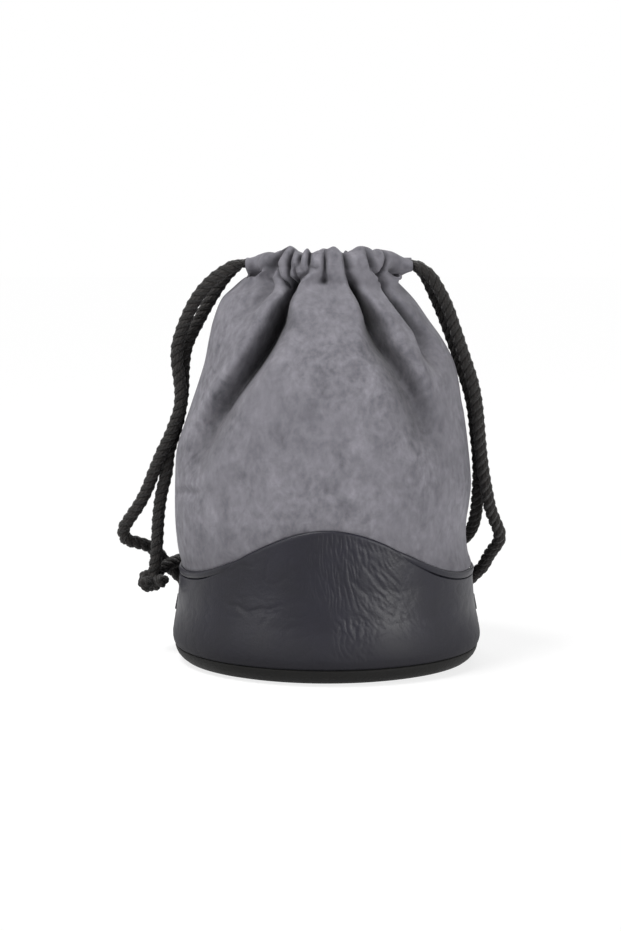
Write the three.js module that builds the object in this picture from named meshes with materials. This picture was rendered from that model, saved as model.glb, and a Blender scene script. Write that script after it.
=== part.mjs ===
// Drawcord lens pouch: a stiff round cup with a wavy edge carries a soft fabric upper, which a twisted
// cord gathers shut in a channel at the neck.
// Millimetres, +Z up, the front faces -Y, the sole stands on z = 0.
import * as THREE from "three";

const { degToRad, smoothstep, clamp, lerp } = THREE.MathUtils;

// Fits
const GAP = 0.3; // between pieces that are sewn, glued or laid together
const CORD_CLEARANCE = 0.5; // all round the cord in the channel

// Sole and cup
const BASE_RADIUS = 65; // widest girth of the cup
const CUP_TAPER = 3.3; // how much less the radius is at the cup's edge
const CUP_WALL = 1.7;
const CUP_EDGE_SIDE = 40; // height of the cup's edge at the two sides
const CUP_EDGE_RISE = 23; // how much higher the edge climbs at the front and the back
const SOLE_RADIUS = 59; // flat resting face
const SOLE_HEIGHT = 6.7;
const BAND_HEIGHT = 2.5; // folded band along the cup's edge
const BAND_PROUD = 0.5;

// Stiffening and lining inside the cup
const BOARD_THICKNESS = 2;
const PAD_THICKNESS = 5;
const LINING_THICKNESS = 0.8;
const FOAM_THICKNESS = 2; // at the cup's edge; it fills out the wider girth below
const FOAM_BELOW_EDGE = 4;
const FOAM_EASE = 1; // play between the foam and the cup's wall
const FOAM_STEP = 4; // height over which the foam steps in behind the tucked fabric
const LINING_BELOW_EDGE = 2;

// Fabric upper
const FABRIC = 1.4; // suede cloth with its backing
const FABRIC_SET_BACK = 1; // the fabric wall stands this far inside the cup's edge
const TUCK = 8; // length of fabric sewn inside the cup's edge
const SWELL = 12; // the fabric reaches its full girth this far above the edge
const SHOULDER_Z = 105; // where the front and back start to lean in
const NECK_Z = 160; // under the channel
const NECK_LEFT = 31;
const NECK_RIGHT = 28.4;
const NECK_DEPTH = 22;
const FLAP_SIDE_HEIGHT = 3; // what is left of the moving shoulder at the side seams
const SEAM_WIDTH = 8;
const SEAM_THICKNESS = 0.9;

// Channel and cord
const CORD = 4; // diameter of the twisted cord
const CHANNEL_HEIGHT = 12.8;
const CHANNEL_CLOTH = 0.9; // cloth beside the bore
const CHANNEL_WIDTH = CORD + 2 * (CORD_CLEARANCE + CHANNEL_CLOTH);
const LEFT_OVERHANG = 2.4; // the channel's ends stand out past the neck
const RIGHT_OVERHANG = 7;
const CHANNEL_SET_BACK = 1; // the channel's middle stands this far behind the neck's front
const CHANNEL_SEAM_ROOM = 0.5; // from the side seam's plane to the channel's ends

// Tabs that hold the cord on the cup
const TAB_ANGLE = 115; // degrees round from the front
const TAB_BOTTOM = 15.5;
const TAB_HEIGHT = 7;
const TAB_THICKNESS = 1.4;
const TAB_LENGTH = 24;
const TAB_EYE_WIDTH = 6;
const TAB_EYE_DEPTH = CORD + 1.8;
const TAB_RAMP = 4.5; // length of strap that rises from a foot to the eye

// Knot that joins the cord's two ends
const KNOT_SIZE = [11, 9.4, 9.6];
const KNOT_AT = [-74.2, 9, 31.4];

// Sole's rounded edge: share of the way out to the rim, share of the height
const SOLE_PROFILE = [[0, 0], [0.5, 0.12], [0.85, 0.42], [1, 0.8]];
// Fractions of CUP_TAPER that the cup's radius loses, by height above the sole
const WIDEST = 3.6;
const UPRIGHT = 9; // from here up the wall is nearly straight
const CUP_PROFILE = [
  [0, 0.33], [1.6, 0.1], [WIDEST, 0], [8.3, 0.18], [16.8, 0.64], [25.3, 0.88], [33.3, 1], [60, 0.97],
];
// Bulge of the cup's edge band, as shares of a half wave from its foot to its top
const BAND_WAVE = [0.15, 0.9];
// Swell of the fabric wall, from the cup's side edge (0) to the shoulder (1)
const LEFT_WALL = [[0, 0.5], [0.15, 2.2], [0.34, 3], [0.68, 2.6], [0.8, 1.4], [0.92, -1.2], [1, -3]];
const RIGHT_WALL = [[0, 0.1], [0.14, -1.6], [0.28, -1.8], [0.4, -0.7], [0.54, 0.1], [0.8, -1.4], [1, -3.2]];
const DEEP_WALL = [[0, 0], [0.5, 0.8], [0.8, 0], [1, -2.7]];
// Share of the way in to the neck that is still left, from the shoulder (0) to the neck (1)
const LEFT_SHOULDER = [
  [0, 1], [0.07, 0.944], [0.23, 0.83], [0.38, 0.738], [0.54, 0.689], [0.69, 0.618], [0.85, 0.464], [1, 0],
];
const ROUND_SHOULDER = [
  [0, 1], [0.07, 0.969], [0.23, 0.924], [0.38, 0.852], [0.54, 0.694], [0.69, 0.491], [0.85, 0.275], [1, 0],
];
// Main gathers of each half: angle at the shoulder, angle at the neck, depth, width
const GATHERS = [[-45, -20, 5, 9], [40, 20, 5, 9], [54, 47, 3, 8], [-72, -50, 3, 8]];

// Half of the channel's path, from its end to its middle: share of its reach, share of its depth
const CHANNEL_BOW = [[0.85, 0.22], [0.6, 0.6], [0.33, 0.9]];

// Routes of the cord's free stretches, from the channel's ends to the tabs and the knot
const LEFT_OUTER = [
  [-34.2, -3.8, 167], [-37.2, -3.8, 166.3], [-41, -3.9, 164.2], [-46.4, -3.9, 160.6], [-51.6, -3.6, 155.4],
  [-55.6, -3.2, 149.5], [-58.6, -3, 143.2], [-60.8, -3, 137.4], [-62.3, -3, 131.5], [-62.4, -3, 125.5],
  [-61.6, -3, 119], [-61, -3, 112], [-61.6, -2.8, 105.5], [-63.6, -2.2, 99.5], [-66, -1.2, 93.5],
  [-69.2, 0, 87], [-72.7, 2, 78.7], [-76.2, 4, 70], [-79.4, 5.2, 64], [-83.2, 6.6, 58.4], [-86.2, 8.4, 53],
  [-85.2, 10.4, 48.6], [-80.4, 13, 46.6], [-75.8, 16.6, 44.4], [-72.2, 21.4, 40.6], [-69, 25, 35.6],
  [-65.2, 26.9, 31.4], [-62.2, 27.8, 28.2], [-60.6, 28.1, 25], [-60.2, 28.1, 22], [-60.2, 28.1, 20],
];
const LEFT_INNER = [
  [-34.2, 3.8, 167], [-37, 3.9, 166], [-40, 4.8, 163.2], [-43.2, 5.6, 159.4], [-47.2, 5.8, 153.4],
  [-50.8, 5.4, 147.4], [-54, 4.6, 141.4], [-57, 3.6, 135.6], [-59, 2.8, 130], [-60, 2.6, 122],
  [-60.4, 2.6, 112], [-62.2, 2.8, 101], [-65.2, 3, 91], [-66.4, 3, 87], [-67.4, 3, 78.6], [-69.5, 4, 70],
  [-70.4, 4.2, 65], [-71.3, 5, 57], [-71.7, 5.6, 50], [-72.2, 6.4, 43], [-73.1, 7.6, 36.3],
];
const LEFT_TURN = [
  [-60.2, 28.1, 19.2], [-60.8, 29, 14.4], [-60.8, 31.6, 9], [-58.6, 36, 5.8], [-55.6, 40.4, 8.6],
  [-53.2, 42.2, 14.6], [-52.2, 42.2, 22], [-52.8, 41.2, 29], [-55.4, 37.6, 34.8], [-59, 32.4, 37.4],
];
const LEFT_TAIL = [
  [-60.1, 30.9, 37.5], [-62.6, 26.8, 37.2], [-65, 22.6, 36.9], [-67.6, 18.8, 36.3], [-70, 16, 35.2],
  [-71.9, 13.8, 34],
];
const RIGHT_OUTER = [
  [36.2, -3.8, 167], [39, -3.8, 165.6], [43, -3.9, 161.4], [47.2, -3.6, 154.8], [50.3, -3.2, 148.4],
  [52.6, -3, 142], [54.8, -3, 135.6], [57, -3, 129], [59.2, -3, 122.6], [61.1, -3, 116.4], [62.5, -3, 109.5],
  [63.4, -2.8, 102], [64.2, -2.2, 93.5], [65.1, -1.2, 85], [66.4, 0.2, 76.5], [67.8, 2, 69.5],
  [69.4, 4.2, 62.5], [71.6, 6.6, 56.8], [73.6, 9, 51.8], [73.6, 11.8, 47.4], [71.6, 14.6, 43.8],
  [69.6, 18.4, 39.8], [67.8, 22.2, 35.2],
  [64.8, 25.6, 31.2], [62.2, 27.5, 28], [60.6, 28.1, 25], [60.2, 28.1, 22], [60.2, 28.1, 20],
];
const RIGHT_INNER = [
  [36.4, 3.8, 167], [39, 3.8, 165.4], [41.6, 3.9, 160.8], [45, 3.6, 153.6], [48.4, 3.2, 145.8],
  [51.2, 3, 138.6], [53.6, 3, 132], [55.8, 3, 125.6], [58, 3, 119], [60.2, 3, 112], [61.8, 3, 104],
  [62.8, 3.2, 95.5], [63.8, 4, 87], [64.4, 5.8, 78], [64.4, 8, 71.4], [64.2, 11, 64.6],
  [63.9, 14.4, 58.8], [63.2, 18.4, 54], [61.9, 22.8, 50], [60, 27.8, 46.6], [58.5, 31.6, 44.6],
];
const RIGHT_TURN = [
  [60.2, 28.1, 19.2], [60.8, 29, 14.4], [60.8, 31.6, 9], [58.6, 36, 5.8], [55.6, 40.4, 8.6],
  [53.2, 42.2, 14.6], [52.2, 42.2, 22], [52.2, 41.8, 30], [54.4, 38.6, 37.6], [57.4, 33.9, 43.2],
];
const FRONT_CORD_END = [[-76.1, 4, 30.9], [-76.7, 2.4, 30.7], [-77.2, 0.9, 30.5]];
const REAR_CORD_END = [[-70.8, 4.7, 31.7], [-69.9, 3.5, 31.8], [-69, 2.4, 31.8]];

// Facets
const ROUND_STEPS = 48;
const CUP_ROWS = 4;
const BAND_ROWS = 3;
const FOAM_ROWS = 5;
const LINING_ROWS = 2;
const HALF_STEPS = 30;
const PANEL_ROWS = 8;
const SEAM_FIRST_ROW = 2; // the seam tapes start at this row of the panel
const FLAP_ROWS = 7;
const TAB_STEPS = 18;
const CHANNEL_SIDES = 8;
const CHANNEL_STEPS = 22;
const CORD_SIDES = 8;
const CORD_STEP = 2.5; // in cord diameters
const RUN_STEP = 1.3; // where the channel turns the cord
const KNOT_FACETS = [12, 8];

// Finishes
const finish = (color, roughness) => new THREE.MeshStandardMaterial({ color, roughness, metalness: 0 });
const suede = finish(0x88868b, 0.95);
const leatherette = finish(0x2f2f32, 0.45);
const soleLeather = finish(0x1c1b1a, 0.55);
const cordYarn = finish(0x1b1918, 0.85);
const boardStock = finish(0x6f6250, 0.9);
const foam = finish(0x3a3a3c, 0.95);
const liningCloth = finish(0x4c4b4f, 0.95);

// A smooth curve through hand-chosen pairs of place and value
function curveThrough(pairs) {
  const last = pairs.length - 1;
  const slope = (i) => {
    const before = pairs[Math.max(i - 1, 0)];
    const after = pairs[Math.min(i + 1, last)];
    return (after[1] - before[1]) / (after[0] - before[0]);
  };
  return (place) => {
    let i = 0;
    while (i < last - 1 && place > pairs[i + 1][0]) i += 1;
    const [x0, y0] = pairs[i];
    const [x1, y1] = pairs[i + 1];
    const h = x1 - x0;
    const t = clamp((place - x0) / h, 0, 1);
    const rise = (y1 - y0) * t * t * (3 - 2 * t);
    return y0 + rise + h * (slope(i) * t * (1 - t) ** 2 - slope(i + 1) * t * t * (1 - t));
  };
}

const cupLoss = curveThrough(CUP_PROFILE);
const leftWall = curveThrough(LEFT_WALL);
const rightWall = curveThrough(RIGHT_WALL);
const deepWall = curveThrough(DEEP_WALL);
const leftShoulder = curveThrough(LEFT_SHOULDER);
const roundShoulder = curveThrough(ROUND_SHOULDER);

const cupOuter = (z) => BASE_RADIUS - CUP_TAPER * cupLoss(z - SOLE_HEIGHT);
const cupInner = (z) => cupOuter(z) - CUP_WALL;
const cupEdge = (phi) => CUP_EDGE_SIDE + CUP_EDGE_RISE * Math.cos(phi) ** 4;

// A point on a circle round the axis; phi is 0 at the front and grows towards the right
const onCircle = (radius, phi, z) => new THREE.Vector3(radius * Math.sin(phi), -radius * Math.cos(phi), z);

// A closed wall between an outer and an inner surface, each a function of a column and a row from 0 to 1.
// A wall that wraps joins its last column to its first.
function wall(columns, rows, outer, inner, wraps) {
  const points = [];
  const count = wraps ? columns : columns + 1;
  const side = count * (rows + 1);
  for (const surface of [outer, inner]) {
    for (let j = 0; j <= rows; j += 1) {
      for (let i = 0; i < count; i += 1) points.push(surface(i / columns, j / rows));
    }
  }
  const at = (i, j, layer) => layer * side + j * count + (i % count);
  const faces = [];
  const quad = (a, b, c, d) => faces.push(a, b, c, a, c, d);
  for (let i = 0; i < columns; i += 1) {
    for (let j = 0; j < rows; j += 1) {
      quad(at(i, j, 0), at(i + 1, j, 0), at(i + 1, j + 1, 0), at(i, j + 1, 0));
      quad(at(i, j, 1), at(i, j + 1, 1), at(i + 1, j + 1, 1), at(i + 1, j, 1));
    }
    quad(at(i, rows, 0), at(i + 1, rows, 0), at(i + 1, rows, 1), at(i, rows, 1));
    quad(at(i + 1, 0, 0), at(i, 0, 0), at(i, 0, 1), at(i + 1, 0, 1));
  }
  if (!wraps) {
    for (let j = 0; j < rows; j += 1) {
      quad(at(0, j, 0), at(0, j + 1, 0), at(0, j + 1, 1), at(0, j, 1));
      quad(at(columns, j + 1, 0), at(columns, j, 0), at(columns, j, 1), at(columns, j + 1, 1));
    }
  }
  const geometry = new THREE.BufferGeometry().setFromPoints(points).setIndex(faces);
  geometry.computeVertexNormals();
  return geometry;
}

const evenLevels = (bottom, top, rows) =>
  Array.from({ length: rows + 1 }, (_, row) => lerp(bottom, top, row / rows));

// A ring wall round the axis between two radii, with a row at each of the levels for an angle
function ringWall(levels, outerRadius, innerRadius) {
  const rows = levels(0).length - 1;
  const surface = (radius) => (u, v) => {
    const phi = 2 * Math.PI * u;
    const z = levels(phi)[Math.round(v * rows)];
    return onCircle(radius(z, phi), phi, z);
  };
  return wall(ROUND_STEPS, rows, surface(outerRadius), surface(innerRadius), true);
}

// A turned solid from pairs of radius and height that start and end on the axis
function turned(profile) {
  const points = profile.map(([r, z]) => new THREE.Vector2(r, z));
  return new THREE.LatheGeometry(points, ROUND_STEPS).rotateX(Math.PI / 2);
}

const disc = (radius, bottom, top) => turned([[0, bottom], [radius, bottom], [radius, top], [0, top]]);

const pouch = new THREE.Group();
function add(name, geometry, material) {
  const mesh = new THREE.Mesh(geometry, material);
  mesh.name = name;
  pouch.add(mesh);
  return mesh;
}

// Sole and cup
const cupFoot = SOLE_HEIGHT + GAP;
const soleRim = cupOuter(cupFoot);
const soleEdge = SOLE_PROFILE.map(([out, up]) => [lerp(SOLE_RADIUS, soleRim, out), up * SOLE_HEIGHT]);
add(
  "sole",
  turned([[0, 0], ...soleEdge, [soleRim - GAP, SOLE_HEIGHT], [0, SOLE_HEIGHT]]),
  soleLeather,
);
const bandFoot = (phi) => cupEdge(phi) - BAND_HEIGHT;
const cupLevels = (phi) => [
  cupFoot,
  cupFoot + WIDEST,
  ...evenLevels(cupFoot + UPRIGHT, bandFoot(phi) - GAP, CUP_ROWS),
];
add("base_cup", ringWall(cupLevels, cupOuter, cupInner), leatherette);
const bandOuter = (z, phi) => {
  const across = clamp((z - bandFoot(phi)) / BAND_HEIGHT, 0, 1);
  return cupOuter(z) + BAND_PROUD * Math.sin(Math.PI * lerp(...BAND_WAVE, across));
};
const bandLevels = (phi) => evenLevels(bandFoot(phi), cupEdge(phi), BAND_ROWS);
add("cup_edge_band", ringWall(bandLevels, bandOuter, cupInner), leatherette);

// Stiffening and lining inside the cup
const boardBottom = cupFoot;
const padBottom = boardBottom + BOARD_THICKNESS + GAP;
const padTop = padBottom + PAD_THICKNESS;
const baseLiningTop = padTop + GAP + LINING_THICKNESS;
const foamInner = cupInner(CUP_EDGE_SIDE) - FABRIC - 4 * GAP - FOAM_THICKNESS;
const foamOuter = (z, phi) => {
  const stepTop = cupEdge(phi) - TUCK - 1;
  return cupInner(z) - lerp(FOAM_EASE, FABRIC + 4 * GAP, smoothstep(z, stepTop - FOAM_STEP, stepTop));
};
const foamLevels = (phi) => evenLevels(padBottom, cupEdge(phi) - FOAM_BELOW_EDGE, FOAM_ROWS);
add("base_board", disc(cupInner(boardBottom) - GAP, boardBottom, boardBottom + BOARD_THICKNESS), boardStock);
add("base_pad", disc(foamInner - GAP, padBottom, padTop), foam);
add("base_lining", disc(foamInner - GAP, padTop + GAP, baseLiningTop), liningCloth);
add("cup_foam", ringWall(foamLevels, foamOuter, () => foamInner), foam);
const liningOuter = foamInner - GAP;
const liningInner = liningOuter - LINING_THICKNESS;
const liningLevels = (phi) => evenLevels(baseLiningTop + GAP, cupEdge(phi) - LINING_BELOW_EDGE, LINING_ROWS);
add("cup_lining", ringWall(liningLevels, () => liningOuter, () => liningInner), liningCloth);

// Fabric upper
const wallRadius = cupOuter(CUP_EDGE_SIDE) - FABRIC_SET_BACK;
const upTheWall = (z) => (z - CUP_EDGE_SIDE) / (SHOULDER_Z - CUP_EDGE_SIDE);
const upTheShoulder = (z) => (z - SHOULDER_Z) / (NECK_Z - SHOULDER_Z);

function girth(z, wallSwell, shoulderShare, neck) {
  const atWall = wallRadius + wallSwell(Math.min(upTheWall(z), 1));
  return neck + (atWall - neck) * shoulderShare(Math.max(upTheShoulder(z), 0));
}

function gatherDepth(phi, z) {
  const up = upTheShoulder(z);
  const degrees = (Math.atan2(Math.sin(phi), Math.abs(Math.cos(phi))) * 180) / Math.PI;
  let depth = 0;
  for (const [low, high, deep, wide] of GATHERS) {
    const off = (degrees - lerp(low, high, clamp(up, 0, 1))) / wide;
    depth += deep * Math.exp(-off * off);
  }
  return depth * smoothstep(up, 0.1, 0.75);
}

// A point of the fabric, at a distance in from its outer face
function cloth(phi, z, inset) {
  const across =
    Math.sin(phi) < 0
      ? girth(z, leftWall, leftShoulder, NECK_LEFT)
      : girth(z, rightWall, roundShoulder, NECK_RIGHT);
  const deep = girth(z, deepWall, roundShoulder, NECK_DEPTH);
  const free = new THREE.Vector3(across * Math.sin(phi), -deep * Math.cos(phi), z);
  const edge = cupEdge(phi);
  const point = onCircle(cupInner(z) - GAP, phi, z).lerp(free, smoothstep(z, edge, edge + SWELL));
  const radius = Math.hypot(point.x, point.y);
  const keep = (radius - inset - gatherDepth(phi, z)) / radius;
  return point.set(point.x * keep, point.y * keep, z);
}

// The flap that leans in over the mouth starts at the shoulder and runs out to the neck at the side seams
const flapFoot = (phi) =>
  SHOULDER_Z + (NECK_Z - FLAP_SIDE_HEIGHT - SHOULDER_Z) * Math.sin(phi) ** 4;

// Heights of the panel's rows: the tuck inside the cup, the swell above its edge, then evenly up to the flap
function panelLevels(phi) {
  const edge = cupEdge(phi);
  return [edge - TUCK, edge, edge + SWELL / 2, ...evenLevels(edge + SWELL, flapFoot(phi), PANEL_ROWS)];
}

const flapLevels = (phi) => evenLevels(flapFoot(phi) + GAP, NECK_Z, FLAP_ROWS);

// A strip of fabric, or of what lies behind it, over a span of angles, with a row at each level
function clothStrip(columns, from, to, levels, outset, inset) {
  const rows = levels(from).length - 1;
  const surface = (depth) => (u, v) => {
    const phi = lerp(from, to, u);
    return cloth(phi, levels(phi)[Math.round(v * rows)], depth);
  };
  return wall(columns, rows, surface(outset), surface(inset), false);
}

// Half of the fabric, from one side seam to the other
function clothHalf(facing, levels) {
  const half = Math.PI / 2 - GAP / (2 * NECK_DEPTH);
  return clothStrip(HALF_STEPS, facing - half, facing + half, levels, 0, FABRIC);
}

// The channel's sleeve and the cord in it follow one path across the mouth's half
function channelPath(side) {
  const z = NECK_Z + 2 * GAP + CHANNEL_HEIGHT / 2;
  const depth = NECK_DEPTH - CHANNEL_SET_BACK;
  const half = (reach) => [
    [reach, CHANNEL_WIDTH / 2 + CHANNEL_SEAM_ROOM],
    ...CHANNEL_BOW.map(([out, deep]) => [out * reach, deep * depth]),
  ];
  const shape = [
    ...half(-NECK_LEFT - LEFT_OVERHANG), [0, depth], ...half(NECK_RIGHT + RIGHT_OVERHANG).reverse(),
  ];
  return new THREE.CatmullRomCurve3(shape.map(([x, y]) => new THREE.Vector3(x, side * y, z)));
}

function channelSleeve(side) {
  const path = channelPath(side);
  const surface = (halfWidth, halfHeight) => (u, v) => {
    const middle = path.getPointAt(v);
    const along = path.getTangentAt(v);
    const turn = 2 * Math.PI * u;
    const out = halfWidth * Math.cos(turn);
    return new THREE.Vector3(
      middle.x + out * along.y,
      middle.y - out * along.x,
      middle.z - halfHeight * Math.sin(turn),
    );
  };
  const bore = CORD / 2 + CORD_CLEARANCE;
  const outside = surface(CHANNEL_WIDTH / 2, CHANNEL_HEIGHT / 2);
  return wall(CHANNEL_SIDES, CHANNEL_STEPS, outside, surface(bore, bore), true);
}

// A round cord along a route, with a ring of points every few diameters
function cordAlong(route, spacing) {
  const outline = new THREE.Shape().absarc(0, 0, CORD / 2, 0, 2 * Math.PI);
  const section = new THREE.Shape(outline.getSpacedPoints(CORD_SIDES).slice(0, CORD_SIDES));
  const steps = Math.max(2, Math.round(route.getLength() / (spacing * CORD)));
  return new THREE.ExtrudeGeometry(section, { steps, extrudePath: route, bevelEnabled: false });
}

const routeThrough = (points) => new THREE.CatmullRomCurve3(points.map((p) => new THREE.Vector3(...p)));

const FRONT = 0;
const BACK = Math.PI;

for (const [name, facing, side] of [["front", FRONT, -1], ["back", BACK, 1]]) {
  add(`${name}_panel`, clothHalf(facing, panelLevels), suede);
  add(`${name}_shoulder`, clothHalf(facing, flapLevels), suede);
  add(`${name}_channel`, channelSleeve(side), suede);
  add(`${name}_cord_run`, cordAlong(channelPath(side), RUN_STEP), cordYarn);
}

// Tape behind the seam that joins the two panels at each side, from the swell to just under the neck
function seamTape(facing) {
  const half = SEAM_WIDTH / 2 / wallRadius;
  const levels = () => panelLevels(facing).slice(SEAM_FIRST_ROW, -1);
  const front = FABRIC + GAP;
  return clothStrip(2, facing - half, facing + half, levels, front, front + SEAM_THICKNESS);
}

// Strap with two sewn feet and a raised eye that the cord passes through from above
function cordTab(facing) {
  const half = TAB_LENGTH / 2 / BASE_RADIUS;
  const surface = (lift) => (u, v) => {
    const turn = lerp(-half, half, u);
    const fromEye = Math.abs(turn) * BASE_RADIUS - TAB_EYE_WIDTH / 2;
    const raised = TAB_EYE_DEPTH * (1 - smoothstep(fromEye, 0, TAB_RAMP));
    const z = TAB_BOTTOM + TAB_HEIGHT * v;
    return onCircle(cupOuter(z) + GAP + raised + lift, facing + turn, z);
  };
  return wall(TAB_STEPS, 1, surface(TAB_THICKNESS), surface(0), false);
}

for (const [name, side] of [["left", -1], ["right", 1]]) {
  add(`${name}_side_seam`, seamTape((side * Math.PI) / 2), liningCloth);
  add(`${name}_cord_tab`, cordTab(side * degToRad(TAB_ANGLE)), leatherette);
}

// Free stretches of the cord and the knot
const stretches = {
  left_outer_strand: LEFT_OUTER,
  left_inner_strand: LEFT_INNER,
  left_tab_turn: LEFT_TURN,
  left_cord_tail: LEFT_TAIL,
  right_outer_strand: RIGHT_OUTER,
  right_inner_strand: RIGHT_INNER,
  right_tab_turn: RIGHT_TURN,
  front_cord_end: FRONT_CORD_END,
  rear_cord_end: REAR_CORD_END,
};
for (const [name, points] of Object.entries(stretches)) {
  add(name, cordAlong(routeThrough(points), CORD_STEP), cordYarn);
}
const knotBall = new THREE.SphereGeometry(0.5, ...KNOT_FACETS).scale(...KNOT_SIZE);
const knot = add("cord_knot", knotBall, cordYarn);
knot.position.set(...KNOT_AT);

export default pouch;
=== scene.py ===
"""Looks of a drawcord lens pouch: a suede upper gathered on a twisted cord, over a stiff leatherette cup."""

import math

import bpy
import numpy as np
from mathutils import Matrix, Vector, noise


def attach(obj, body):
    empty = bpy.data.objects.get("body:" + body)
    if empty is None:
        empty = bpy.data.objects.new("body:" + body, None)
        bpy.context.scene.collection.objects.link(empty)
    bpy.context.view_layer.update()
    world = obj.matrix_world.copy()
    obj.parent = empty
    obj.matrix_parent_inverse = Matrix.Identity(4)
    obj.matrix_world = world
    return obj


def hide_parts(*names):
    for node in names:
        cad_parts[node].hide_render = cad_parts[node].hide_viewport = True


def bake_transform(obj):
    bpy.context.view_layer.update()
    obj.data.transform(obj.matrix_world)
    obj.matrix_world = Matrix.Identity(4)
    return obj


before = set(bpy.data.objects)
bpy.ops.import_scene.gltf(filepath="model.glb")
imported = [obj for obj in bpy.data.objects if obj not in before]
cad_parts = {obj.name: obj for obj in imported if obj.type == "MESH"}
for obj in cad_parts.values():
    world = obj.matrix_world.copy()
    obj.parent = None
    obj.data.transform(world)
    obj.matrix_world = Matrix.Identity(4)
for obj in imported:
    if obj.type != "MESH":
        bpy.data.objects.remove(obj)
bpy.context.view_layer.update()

# Sizes in millimetres, in the same frame as the solids: +Z up, the front faces -Y
MM = 0.001
GAP = 0.3
BASE_RADIUS = 65.0
CUP_TAPER = 3.3
CUP_WALL = 1.7
EDGE_SIDE = 40.0
EDGE_RISE = 23.0
SOLE_RADIUS = 59.0
SOLE_HEIGHT = 6.7
BAND_HEIGHT = 3.0
BAND_PROUD = 0.5
CLOTH = 1.0
TUCK = 5.0
SWELL = 12.0
SHOULDER = 105.0
NECK = 160.0
NECK_LEFT = 36.5
NECK_RIGHT = 28.4
NECK_DEPTH = 24.5
HEM_HEIGHT = 167.0
CORD = 4.0
CORD_LAY = 11.4  # length of one full turn of the three strands
STRAND_SIDES = 8
STITCH_SIDES = 6
HEM_SQUEEZE = 0.36  # share of its thickness that the cord loses in the hem and in a tab's eye
EYE_SQUEEZE = 0.17
TAB_ANGLE = 115.0
TAB_FOOT = 15.5
TAB_HEIGHT = 7.0
TAB_LENGTH = 24.0
TAB_EYE = 6.0
TAB_EYE_PLACE = (60.2, 28.1, 19.0)
TAB_DEPTH = 5.1
TAB_RAMP = 4.5
TAB_CLOTH = 1.0
KNOT_PLACE = (-74.2, 9.0, 31.4)
PAD_FOOT = 9.3
PAD_TOP = 14.3
LINING_RADIUS = 55.1
TAPE_TOP = 148.0
BACK_TURN = 4  # degrees by which the back's folds are turned
BACK_LOWER = 2.6

# Share of the taper that the cup loses, by height above the sole
CUP_PROFILE = [
    (0, 0.36), (1.6, 0.14), (4, 0), (8.3, 0.14), (16.8, 0.64), (25.3, 0.88), (33.3, 1), (60, 0.97),
]
# Swell of the upper's wall from the cup's edge (0) to the shoulder (1)
LEFT_WALL = [(0, 0.5), (0.15, 2.2), (0.34, 3), (0.68, 2.6), (0.8, 1.4), (0.92, -1.2), (1, -3)]
RIGHT_WALL = [(0, 0.1), (0.14, -1.6), (0.28, -1.8), (0.4, -0.7), (0.54, 0.1), (0.8, -1.4), (1, -3.2)]
DEEP_WALL = [(0, 0), (0.5, 0.8), (0.8, 0), (1, -2.7)]
# Share of the way in to the neck that is left, from the shoulder (0) to the neck (1)
LEFT_SHOULDER = [
    (0, 1), (0.07, 0.94), (0.23, 0.80), (0.38, 0.68), (0.54, 0.60), (0.69, 0.51), (0.85, 0.34), (0.93, 0.13),
    (1, -0.08), (1.03, -0.22),
]
ROUND_SHOULDER = [
    (0, 1), (0.07, 0.969), (0.23, 0.924), (0.38, 0.852), (0.54, 0.694), (0.69, 0.491), (0.85, 0.275), (1, 0),
]
# Half of the hem's path across the mouth, from its end to its middle
HEM_BOW = [(1, 3.9), (0.85, 4.6), (0.6, 12.6), (0.33, 18.9)]
HEM_LEFT = 33.4
HEM_RIGHT = 35.4
HEM_DEPTH = 21.0

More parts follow.
